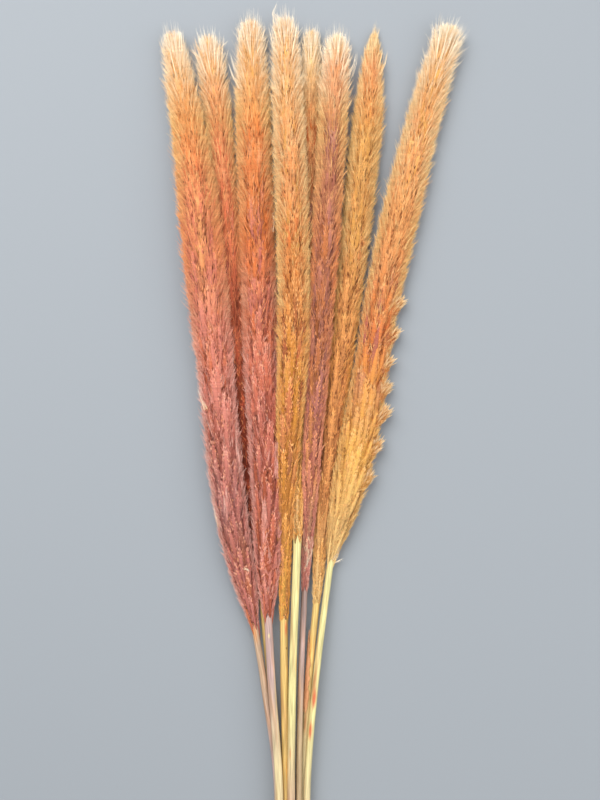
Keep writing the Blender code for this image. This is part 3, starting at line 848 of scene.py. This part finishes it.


# %% [markdown]
# ## Single streaks and whiskers
#
# A few pale streaks of hair lie along the lower plumes, and a few hairs stick out alone near the tips. Each
# was measured: a streak by its lower end and length, a whisker by its root, its bow and its end, all in mm
# from the picture's middle.

# %% Lay the streaks and bend the whiskers
WHITEST = 0.97           # the place up the plume whose pale dye the whiskers have
STREAKS = {
    "reed_1": ((-30.5, -36.0, 20.0), (-36.0, -60.0, 16.0)),
    "reed_3": ((-17.5, -72.0, 22.0), (-11.8, -40.0, 17.0)),
    "reed_6": ((11.0, -36.0, 20.0),),
    "reed_8": ((15.5, -80.0, 30.0),),
}
WHISKERS = {
    "reed_1": (((-27.5, -83.5), (-26.0, -83.8), (-25.0, -85.8)), ((-46.5, -4.5), (-49.6, 0.5), (-51.7, 6.0)),
               ((-40.5, -63.0), (-42.6, -58.0), (-43.8, -52.0))),
    "reed_3": (((-30.0, 160.0), (-33.5, 166.0), (-35.5, 175.0)),
               ((-30.0, 155.0), (-34.5, 163.0), (-36.5, 171.0)), ((-13.8, 85.0), (-12.6, 89.0), (-13.6, 94.0))),
    "reed_4": (((-8.5, 187.0), (-17.5, 194.0), (-11.0, 200.0)),
               ((-12.0, 186.0), (-13.5, 190.0), (-13.8, 194.5))),
    "reed_6": (((25.0, 162.0), (28.0, 169.0), (28.5, 175.0)), ((3.4, -72.0), (5.4, -80.0), (2.0, -87.0)),
               ((5.2, -74.0), (2.4, -82.0), (4.4, -91.0)), ((4.4, -68.0), (7.0, -75.0), (5.2, -83.0))),
    "reed_7": (((38.0, 177.0), (38.8, 183.0), (40.5, 189.0)), ((40.0, 163.0), (43.5, 169.0), (44.6, 176.5))),
    "reed_8": (((16.6, -81.0), (19.6, -77.5), (19.8, -73.0)), ((17.4, -80.0), (19.8, -75.0), (20.6, -71.0)),
               ((17.2, -81.5), (19.5, -82.0), (22.0, -80.0))),
}
STREAK_HAIRS, WHISKER_HAIRS = 15, 6
STREAK_LENGTH = (5.0, 9.0)                         # mm, of its hairs
STREAK_SPREAD, STREAK_WIDTH = 0.8, 0.12            # mm between their roots, and of half a hair
WHISKER_STRAY = (0.7, 0.5, 0.3)                    # mm that its hairs stray at their roots, bows and ends
WHISKER_WIDTH = 0.08                               # mm of half a hair


def streaks(heap, reed, rand):
    for x, y, long in STREAKS.get(reed.name, ()):
        t = np.clip((y - reed.base_y + long * rand.uniform(0, 0.8, STREAK_HAIRS)) / reed.length, 0.0, 1.0)
        aside = (x - middle(reed, t)[:, 0]) / half_width(reed, t)
        angle = np.arccos(np.clip(aside, -0.92, 0.92)) + rand.normal(0, 0.06, STREAK_HAIRS)
        share = row(BODY, t) + rand.uniform(-0.03, 0.05, STREAK_HAIRS)
        t1 = t + rand.uniform(*STREAK_LENGTH, STREAK_HAIRS) / reed.length
        angle1 = angle + rand.normal(0, 0.05, STREAK_HAIRS)
        band = rand.choice((PALE, MAIN_LIGHT), STREAK_HAIRS)
        wisps(heap, HAIR, reed, (t, angle, share), (t1, angle1, share + 0.03), WISP_HAIRS, STREAK_SPREAD,
              STREAK_WIDTH, band, PALE_HALF, rand)


def over_plume(reed, x, y):
    """The point of a plume's surface at a place seen from above, or beside its middle where that is outside."""
    t = np.clip(np.array([(y - reed.base_y) / reed.length]), 0.0, 1.0)
    aside = np.clip((x - middle(reed, t)[0, 0]) / half_width(reed, t), -1.0, 1.0)
    return np.array((x, y, on_plume(reed, t, np.arccos(aside), np.array([1.05]))[0, 2]))


def whiskers(heap, reed, rand):
    for place in WHISKERS.get(reed.name, ()):
        root, bow, end = (over_plume(reed, *xy) + rand.normal(0, stray, (WHISKER_HAIRS, 3))
                          for xy, stray in zip(place, WHISKER_STRAY))
        side = unit(np.cross(end - root, ZENITH))
        t = np.full(WHISKER_HAIRS, WHITEST)
        heap.add_copies(HAIR, (root, bow, end), WHISKER_WIDTH, side, np.cross(side, unit(end - root)), (t, t),
                        np.full(WHISKER_HAIRS, PALE), PALE_HALF)


# %% [markdown]
# ## Tufts that stand proud
#
# On the right-hand reed a few locks have come loose and point out sideways like torn paper. A tuft is a lock
# on its own arc, from inside the plume out to where its end was measured, with a ragged end of pale hairs.

# %% Grow the tufts
PALEST = 0.86            # the place up the plume whose pale dye the ragged ends have
TUFT_LENGTH, TUFT_RADIUS = 12.0, 2.8               # mm
TUFT_ROOT, TUFT_RAISED = 0.5, 0.5                  # how far out it starts, and mm that its end is raised
TUFT_RAGS = 5.5                                    # mm of its length that are ragged ends
TUFT_SLIM, TUFT_LIT = 0.8, (0.2, 0.6)              # as of the locks; the second is its painted shade
TUFT_TINTS = (0.35, 0.15, 0.3, 0.2)                # how many scales are main, other, light and grains
# shape, how many, hairs of each, mm of half a hair, mm of its length, where on the lock it starts, how lit
TUFT_KINDS = ((SCALE, 900, 1, 0.3, 2.0, (0.05, 1.0), (0.0, 1.0)),
              (HAIR, 70, 8, 0.1, 5.0, (0.5, 1.05), (0.2, 1.0)))


def tuft(heap, reed, end_xy, rand):
    end = np.array((*end_xy, 0.0))
    t_end = (end[1] - reed.base_y) / reed.length
    t_root = t_end - TUFT_LENGTH / reed.length
    beside = middle(reed, np.array([t_end]))[0]
    side = RIGHT if end[0] > beside[0] else LEFT
    root = on_plume(reed, np.array([t_root]), np.array([side]), np.array([TUFT_ROOT]))[0]
    end[2] = beside[2] + TUFT_RAISED
    line = unit(end - root)
    end = end - line * TUFT_RAGS
    sideways = unit(np.cross(line, ZENITH))
    raised = np.cross(sideways, line)
    arc = [point[None] for point in (root, (root + end) / 2, end)]
    heap.add_copies(LOCK, arc, TUFT_RADIUS * TUFT_SLIM, sideways[None], raised[None],
                    (np.array([t_root]), np.array([t_end])), np.array([MAIN]), TUFT_LIT)
    for shape, n, many, width, reach, places, lit in TUFT_KINDS:
        s = rand.uniform(*places, n)
        turn = rand.uniform(0, math.tau, n)
        off = np.cos(turn)[:, None] * sideways + np.sin(turn)[:, None] * raised
        bulge = (TUFT_RADIUS * np.sin(np.pi * np.clip(0.2 + 0.7 * s, 0, 1)) ** 0.7)[:, None]
        start = root + (end - root) * s[:, None] + bulge * off * 0.85
        way = unit(line + rand.uniform(0.05, 0.6, n)[:, None] * off + rand.normal(0, 0.12, (n, 3)))
        stop = np.repeat(start + way * (reach * rand.uniform(0.6, 1.15, n))[:, None], many, axis=0)
        n = n * many
        start = np.repeat(start, many, axis=0) + rand.normal(0, 0.45, (n, 3)) * (many > 1)
        way = unit(stop - start)
        flat = unit(np.cross(way, rand.normal(0, 1.0, (n, 3))))
        if shape is SCALE:
            band, dyed_as = rand.choice((MAIN, OTHER, MAIN_LIGHT, GRAIN_GLINT), n, p=TUFT_TINTS), t_end
        else:
            band, dyed_as = np.full(n, PALE), PALEST
        up_plume = dyed_as + rand.uniform(-0.02, 0.02, n)
        heap.add_copies(shape, (start, (start + stop) / 2, stop), width, flat, np.cross(flat, way),
                        (up_plume, up_plume), band, lit)


# %% [markdown]
# ## Eight plumes
#
# Each plume gets its own seed, so no two are alike and every run gives the same ones. The mesh stands for
# the plume's solid, which is hidden, and takes its place in the bunch's one body.

# %% Build the plumes
for number, reed in enumerate(REEDS):
    rand = np.random.default_rng(100 + number)
    heap = Heap()
    undercoat(heap, reed)
    grow_scales(heap, reed, grow_locks(heap, reed, rand), rand)
    husks(heap, reed, rand)
    fluff(heap, reed, rand)
    brush(heap, reed, rand)
    streaks(heap, reed, rand)
    whiskers(heap, reed, rand)
    for end_xy in reed.tufts:
        tuft(heap, reed, end_xy, rand)
    plume = heap.become_object(f"{reed.name}_hair", plume_materials[reed.name])
    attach(plume, "root")
    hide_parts(f"{reed.name}_plume")

# %% [markdown]
# ## Straw stems
#
# A reed's stem is a hollow culm, as of any grass: smooth, a little ribbed, with a thin wall at the cut end.
# Where the plume starts, the tube ends in a ragged rim, and a thinner stalk goes on inside the hair. A
# cylinder is cut into rings, its lower end is inset and pushed in to make it hollow, and its upper end is
# inset and pulled out into the stalk. Then every ring is moved to its place on the stem's line.

# %% Dyes and stains of the stems
DYES.update({"lemon": "#DFD393", "butter": "#E2BE74", "ivory": "#DCC898", "sand": "#C4A486", "lilac": "#BA9C94",
             "dove": "#9C827A", "tan": "#BCA27C", "peel": "#D0925E", "scarlet": "#D65C38", "umber": "#7A4C24"})
STEM_DYE_AT = (0.0, 0.12, 0.3, 0.45)
STEM_DYES = {
    "reed_1": ("sand", "sand", "lilac", "ivory"), "reed_2": ("butter", "butter", "ivory", "ivory"),
    "reed_3": ("lilac", "lilac", "ivory", "ivory"), "reed_4": ("butter", "butter", "butter", "butter"),
    "reed_5": ("lemon", "lemon", "lemon", "sand"), "reed_6": ("dove", "lilac", "tan", "tan"),
    "reed_7": ("butter", "butter", "ivory", "ivory"), "reed_8": ("lemon", "lemon", "lemon", "ivory"),
}
# each stain: mm below the plume, side (0 right, 0.25 top, 0.5 left), length and width in mm, dye
STAINS = {
    "reed_1": ((3.0, 0.3, 12.0, 3.0, "peel"),),
    "reed_3": ((9.0, 0.25, 3.0, 1.2, "ivory"), (45.0, 0.1, 60.0, 0.8, "ivory")),
    "reed_4": ((4.0, 0.16, 9.0, 1.6, "terracotta"), (14.0, 0.15, 1.3, 0.9, "umber"),
               (75.0, 0.22, 14.0, 1.0, "gold")),
    "reed_5": ((82.0, 0.25, 7.0, 0.35, "umber"), (104.5, 0.3, 7.0, 1.1, "peel"),
               (60.0, 0.1, 12.0, 0.8, "gold")),
    "reed_7": ((22.0, 0.3, 14.0, 1.2, "gold"), (60.0, 0.3, 12.0, 1.2, "peel")),
    "reed_8": ((62.0, 0.34, 26.0, 2.6, "peel"), (68.5, 0.24, 11.0, 2.6, "scarlet"),
               (84.5, 0.3, 11.0, 2.2, "scarlet")),
}
STALK = 12.0             # mm of thin stalk inside the plume
FIBRE = 0.65             # mm between the lengthwise lines


# %% The straw material
def straw_material(reed, length):
    """Dry straw is smooth with a waxy film, so it shines a little. U runs round it and V down it."""
    material, tree, shader = new_material(f"dry_straw_{reed.name}", 0.5, 0.35)
    uv = add(tree, "ShaderNodeUVMap", uv_map="OFBake").outputs[0]
    girth, span = math.tau * reed.radius, length + STALK + 2 * reed.radius
    in_mm = add(tree, "ShaderNodeMapping",
                {0: uv, "Scale": (girth, span, 1.0), "Location": (0.0, -STALK, 0.0)}).outputs[0]
    down = add(tree, "ShaderNodeSeparateXYZ", {0: uv}).outputs["Y"]
    places = [(at * length + STALK) / span for at in STEM_DYE_AT]
    colour = add(tree, "ShaderNodeValToRGB", {0: down}, dye_stops(places, STEM_DYES[reed.name])).outputs[0]
    fibres = add(tree, "ShaderNodeMapping", {0: in_mm, "Scale": (1 / FIBRE, 0.06, 1.0)})
    fibres = add(tree, "ShaderNodeTexNoise", {0: fibres.outputs[0], "Scale": 1.0, "Detail": 2.0},
                 noise_dimensions="2D")
    broad = add(tree, "ShaderNodeMapping", {0: in_mm, "Scale": (0.5, 0.035, 1.0)})
    broad = add(tree, "ShaderNodeTexNoise", {0: broad.outputs[0], "Scale": 1.0, "Detail": 3.0},
                noise_dimensions="2D")
    warm = add(tree, "ShaderNodeMapRange", {"Value": broad.outputs[0], "From Min": 0.5, "From Max": 0.75,
                                            "To Max": 0.45})
    colour = add(tree, "ShaderNodeMix", {0: warm.outputs[0], 6: colour, 7: linear("peel")},
                 data_type="RGBA").outputs[2]
    for below, around, long, wide, dye in STAINS.get(reed.name, ()):
        centre, halves = (around * girth, below, 0.0), (2 / wide, 2 / long, 0.0)
        off = add(tree, "ShaderNodeVectorMath", {0: in_mm, 1: centre}, operation="SUBTRACT")
        off = add(tree, "ShaderNodeVectorMath", {0: off.outputs[0], 1: halves}, operation="MULTIPLY")
        far = add(tree, "ShaderNodeVectorMath", {0: off.outputs[0]}, operation="LENGTH")
        ragged = add(tree, "ShaderNodeMath", {0: fibres.outputs[0], 1: 0.9, 2: far.outputs["Value"]},
                     operation="MULTIPLY_ADD")
        mask = add(tree, "ShaderNodeMapRange", {"Value": ragged.outputs[0], "From Min": 1.6, "From Max": 0.8,
                                                "To Max": 0.85})
        colour = add(tree, "ShaderNodeMix", {0: mask.outputs[0], 6: colour, 7: linear(dye)},
                     data_type="RGBA").outputs[2]
    light = add(tree, "ShaderNodeMapRange", {"Value": fibres.outputs[0], "From Min": 0.32, "From Max": 0.68,
                                             "To Min": 0.7, "To Max": 1.12})
    colour = add(tree, "ShaderNodeVectorMath", {0: colour, "Scale": light.outputs[0]}, operation="SCALE")
    bump = add(tree, "ShaderNodeBump", {"Height": fibres.outputs[0], "Distance": 0.0002, "Strength": 0.35})
    tree.links.new(colour.outputs[0], shader.inputs["Base Color"])
    tree.links.new(bump.outputs[0], shader.inputs["Normal"])
    return material


# %% [markdown]
# The stem's UV map is the straw cut open and laid flat: U round it, V down it. A face that crosses the cut
# would run back over the whole map, so its corners are counted on from the face's own middle.


# %% Model the stems
STEM_SIDES, STEM_RINGS = 16, 64
STEM_WALL, HOLLOW = 0.22, 6.0                      # a share of the radius, and mm deep at the cut end
RIM_BELOW = 0.3                                    # mm that the rim lies below the plume
RIM_TEETH, FREE_RIM_TEETH = 1.6, {"reed_5": 5.0}   # mm, the second where the rim stands free of the hair
RIM_FLARE = {"reed_5": 1.12}
STALK_PIECES, STALK_INSET, STALK_TAPER = 3, 0.45, 0.85   # the last two are shares of the radius
RIBS, RIB_DEPTH, WAVE_DEPTH = 7, 0.025, 0.015      # the depths are shares of the radius


def runs_along(thing, edge):
    start, end = (thing.data.vertices[i].co.z for i in edge.vertices)
    return abs(start - end) > 1


def put_points(thing, placed):
    """Moves a shape's points to where they are given, in mm, and clears the UV maps that it came with."""
    thing.data.vertices.foreach_set("co", ((placed + SHIFT) * MM).ravel())
    thing.data.update()
    for layer in list(thing.data.uv_layers):
        thing.data.uv_layers.remove(layer)


def lay_uv(thing, around, down):
    """Writes the flat UV map from each point's turn, 0 to 1, and its place down, 0 to 1."""
    uv_map = thing.data.uv_layers.new(name="OFBake")
    for face in thing.data.polygons:
        turns = [around[i] for i in face.vertices]
        wraps = max(turns) - min(turns) > 0.5
        for loop, turn in zip(face.loop_indices, turns):
            point = thing.data.loops[loop].vertex_index
            uv_map.data[loop].uv = (turn + 1.0 if wraps and turn < 0.5 else turn, down[point])


def stem(reed, rand):
    top, low = reed.base_y - RIM_BELOW, reed.end[1]
    length = top - low
    start_shape()
    bpy.ops.mesh.primitive_cylinder_add(vertices=STEM_SIDES, radius=reed.radius, depth=length,
                                        location=(0, 0, length / 2), end_fill_type="NGON")
    thing = edit_shape()
    thing.name = f"{reed.name}_straw"
    choose(thing, "EDGE", lambda edge: runs_along(thing, edge))
    bpy.ops.mesh.subdivide(number_cuts=STEM_RINGS)
    choose(thing, "FACE", lambda face: face.normal.z < -0.9)
    bpy.ops.mesh.inset(thickness=STEM_WALL * reed.radius)
    bpy.ops.mesh.extrude_region_move(TRANSFORM_OT_translate={"value": (0, 0, HOLLOW)})
    choose(thing, "FACE", lambda face: face.normal.z > 0.9 and face.center.z > length - 0.1)
    bpy.ops.mesh.inset(thickness=STALK_INSET * reed.radius)
    for _ in range(STALK_PIECES):
        bpy.ops.mesh.extrude_region_move(TRANSFORM_OT_translate={"value": (0, 0, STALK / STALK_PIECES)})
        bpy.ops.transform.resize(value=(STALK_TAPER, STALK_TAPER, 1))
    choose(thing, "FACE", lambda face: abs(face.normal.z) > 0.9 and face.center.xy.length < 0.01)
    bpy.ops.mesh.poke()
    bpy.ops.object.mode_set(mode="OBJECT")

    points = np.array([v.co for v in thing.data.vertices])
    turn = np.arctan2(points[:, 1], points[:, 0])
    out, along = np.hypot(points[:, 0], points[:, 1]), points[:, 2]
    ribs = RIB_DEPTH * np.sin(RIBS * turn + 0.02 * along)
    waves = WAVE_DEPTH * np.sin(0.11 * along + rand.uniform(0, 6))
    rim = (out > 0.9 * reed.radius) & (along > length - 0.1)
    teeth = FREE_RIM_TEETH.get(reed.name, RIM_TEETH)
    y = low + along + np.where(rim, teeth * (0.5 + 0.5 * np.cos(5 * turn - 1.2)) ** 2, 0.0)
    ahead = unit(stem_middle(reed, y + 1.0) - stem_middle(reed, y - 1.0))
    side = unit(np.cross(ahead, ZENITH))
    up = np.cross(side, ahead)
    far = out * (1 + ribs + waves) * np.where(rim, RIM_FLARE.get(reed.name, 1.0), 1.0)
    outward = np.cos(turn)[:, None] * side + np.sin(turn)[:, None] * up
    placed = stem_middle(reed, y) + far[:, None] * outward
    placed[:, 2] = np.maximum(placed[:, 2], 0.0)
    put_points(thing, placed)
    down = length + STALK - along + 2 * (reed.radius - out)
    lay_uv(thing, (turn / math.tau) % 1.0, np.clip(down / (length + STALK + 2 * reed.radius), 0.0, 1.0))
    thing.data.materials.append(straw_material(reed, length))
    bpy.ops.object.shade_smooth_by_angle(angle=math.radians(40))
    print(thing.name, "faces:", len(thing.data.polygons))
    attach(thing, "root")
    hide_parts(f"{reed.name}_stem")


for number, reed in enumerate(REEDS):
    stem(reed, np.random.default_rng(200 + number))

# %% [markdown]
# ## The torn sheath
#
# A leaf's lower part wraps the stem as a sheath of thin paper. One reed has kept a dry strip of it, torn off
# at both ends. A grid is wound part of the way round the stem, narrow at its top and wide further down, with
# wavering edges, and is given the thickness of paper.

# %% Model the sheath
SHEATH_TOP, SHEATH_LENGTH = -116.0, 42.0           # mm
SHEATH_GAP, SHEATH_PAPER = 0.38, 0.3               # mm off the stem, and its thickness
SHEATH_SIDE = (168.0, 148.0)                       # degrees to its middle, at its top and at its lower end
SHEATH_REACH = (9.0, 62.0)                         # degrees to either side of that
VEIN_GAP, VEIN_LENGTH = 0.35, 14.0                 # mm
DYES.update({"paper_light": "#DDA274", "paper_dark": "#B06F48"})


def sheath_material():
    """A dry leaf sheath is dull, thin and lined by its veins. There is only one, so it reads its own place."""
    material, tree, shader = new_material("dry_leaf_sheath", 0.9, 0.2)
    place = add(tree, "ShaderNodeTexCoord").outputs["Object"]
    veins = (1000 / VEIN_GAP, 1000 / VEIN_LENGTH, 1000 / VEIN_GAP)
    veins = add(tree, "ShaderNodeMapping", {0: place, "Scale": veins}).outputs[0]
    veins = add(tree, "ShaderNodeTexNoise", {0: veins, "Scale": 1.0, "Detail": 3.0}).outputs[0]
    light = add(tree, "ShaderNodeMapRange", {"Value": veins, "From Min": 0.3, "From Max": 0.6}).outputs[0]
    colour = add(tree, "ShaderNodeMix", {0: light, 6: linear("paper_dark"), 7: linear("paper_light")},
                 data_type="RGBA").outputs[2]
    bump = add(tree, "ShaderNodeBump", {"Height": veins, "Distance": 0.0002, "Strength": 0.5})
    tree.links.new(colour, shader.inputs["Base Color"])
    tree.links.new(bump.outputs[0], shader.inputs["Normal"])
    return material


def sheath(reed):
    start_shape()
    bpy.ops.mesh.primitive_grid_add(x_subdivisions=10, y_subdivisions=48, size=2)
    thing = bpy.context.object
    thing.name = f"{reed.name}_papery_sheath"
    points = np.array([v.co for v in thing.data.vertices])
    across, down = points[:, 0], (1 - points[:, 1]) / 2
    ragged = 1 + 0.14 * np.sin(29 * down + 2 * across) + 0.08 * np.sin(71 * down + 1.0)
    reach = SHEATH_REACH[0] + (SHEATH_REACH[1] - SHEATH_REACH[0]) * np.minimum(1.0, 2.2 * down)
    side = SHEATH_SIDE[0] + (SHEATH_SIDE[1] - SHEATH_SIDE[0]) * down
    angle = np.radians(side - reach * across * ragged)
    out = reed.radius + SHEATH_GAP + 0.3 * across**4
    y = SHEATH_TOP - SHEATH_LENGTH * down * (0.95 + 0.05 * np.cos(8 * across + 1.0))
    placed = stem_middle(reed, y) + out[:, None] * np.stack([np.cos(angle), 0 * angle, np.sin(angle)], axis=-1)
    placed[:, 2] = np.maximum(placed[:, 2], 0.05)
    put_points(thing, placed)
    paper = thing.modifiers.new("paper", "SOLIDIFY")
    paper.thickness, paper.offset = SHEATH_PAPER * MM, 1.0
    bpy.ops.object.modifier_apply(modifier=paper.name)
    bpy.ops.object.shade_smooth_by_angle(angle=math.radians(40))
    thing.data.materials.append(sheath_material())
    print(thing.name, "faces:", len(thing.data.polygons))
    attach(thing, "root")
    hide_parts(f"{reed.name}_sheath")


sheath(REEDS[6])

# %% [markdown]
# ## Floor, light and camera
#
# The bunch lies on a plain pale floor. A large soft light above the tips and a weaker one from the right
# give round, gentle shading. The camera looks straight down at the middle of the picture. The Standard view
# shows a dye as strong as it is mixed, where a film-like view would wash it out.

# %% Set the stage
PHOTO_MIDDLE = Vector(SHIFT * MM)
FLOOR_SIZE = 60          # m
# each lamp: its place from the picture's middle and its size in m, and its power in W
LAMPS = {"key": ((-0.35, 0.55, 0.85), 0.9, 13.0), "fill": ((0.65, -0.15, 0.7), 1.0, 4.6)}
CAMERA_HEIGHT = 0.565    # m
CAMERA_LENS, CAMERA_SENSOR = 50, 36                # mm

start_shape()
bpy.ops.mesh.primitive_plane_add(size=FLOOR_SIZE, location=(0, 0, 0))
floor = bpy.context.object
floor.name = "floor"
floor_material, _, floor_shader = new_material("matt_painted_board", 0.8, 0.5)
floor_shader.inputs["Base Color"].default_value = linear("#90959A")
floor.data.materials.append(floor_material)

world = bpy.data.worlds.new("studio")
bpy.context.scene.world = world
world.use_nodes = True
world.node_tree.nodes["Background"].inputs["Color"].default_value = linear("#E4E6E8")
world.node_tree.nodes["Background"].inputs["Strength"].default_value = 0.8
bpy.context.scene.view_settings.view_transform = "Standard"
for name, (place, size, power) in LAMPS.items():
    lamp = bpy.data.objects.new(name, bpy.data.lights.new(name, "AREA"))
    bpy.context.scene.collection.objects.link(lamp)
    lamp.data.energy = power
    lamp.data.size = size
    lamp.location = PHOTO_MIDDLE + Vector(place)
    lamp.rotation_euler = (-Vector(place)).to_track_quat("-Z", "Y").to_euler()

camera = bpy.data.objects.new("camera", bpy.data.cameras.new("camera"))
bpy.context.scene.collection.objects.link(camera)
camera.data.lens = CAMERA_LENS
camera.data.sensor_width = CAMERA_SENSOR
camera.data.clip_start = 0.01
camera.location = PHOTO_MIDDLE + Vector((0, 0, CAMERA_HEIGHT))
bpy.context.scene.camera = camera
